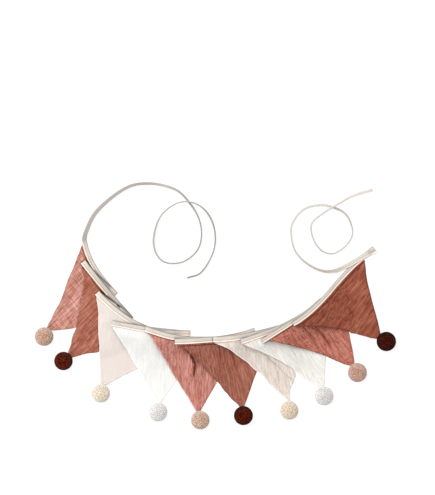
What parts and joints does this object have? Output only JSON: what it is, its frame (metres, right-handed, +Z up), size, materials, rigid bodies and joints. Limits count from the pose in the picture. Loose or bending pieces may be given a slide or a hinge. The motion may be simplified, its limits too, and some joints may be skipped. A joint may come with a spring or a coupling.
{
  "type": "pompom pennant bunting",
  "caption": "Fabric bunting laid out flat: triangular crinkled muslin flags overlapped in an arc, caught along one folded tape with long looped ties, a yarn pompom at each tip.",
  "frame": {"origin": "on the surface that it lies on, under the middle of the whole bunting's box", "axes": "+X along the arc's width, from the left tie to the right one, +Y from the pompoms towards the ties, +Z up off the surface"},
  "size_m": [0.7606, 0.521, 0.0387],
  "materials": {
    "tape_beige": "folded bias tape of plain cotton, matt",
    "muslin_pink": "crinkled cotton muslin, dusty pink, matt",
    "muslin_terracotta": "crinkled cotton muslin, terracotta, matt",
    "muslin_cream": "crinkled cotton muslin, pale cream, matt",
    "muslin_white": "crinkled cotton muslin, off-white, matt",
    "yarn_tan": "cut wool yarn, tan",
    "yarn_brown": "cut wool yarn, dark red-brown",
    "yarn_cream": "cut wool yarn, cream",
    "yarn_white": "cut wool yarn, off-white"
  },
  "bodies": {
    "root": {"binding_tape": "tape_beige", "flag_01": "muslin_pink", "flag_02": "muslin_terracotta", "flag_03": "muslin_cream", "flag_04": "muslin_white", "flag_05": "muslin_pink", "flag_06": "muslin_terracotta", "flag_07": "muslin_cream", "flag_08": "muslin_white", "flag_09": "muslin_pink", "flag_10": "muslin_terracotta", "pompom_01": "yarn_tan", "pompom_02": "yarn_brown", "pompom_03": "yarn_cream", "pompom_04": "yarn_white", "pompom_05": "yarn_tan", "pompom_06": "yarn_brown", "pompom_07": "yarn_cream", "pompom_08": "yarn_white", "pompom_09": "yarn_tan", "pompom_10": "yarn_brown"}
  },
  "joints": []
}
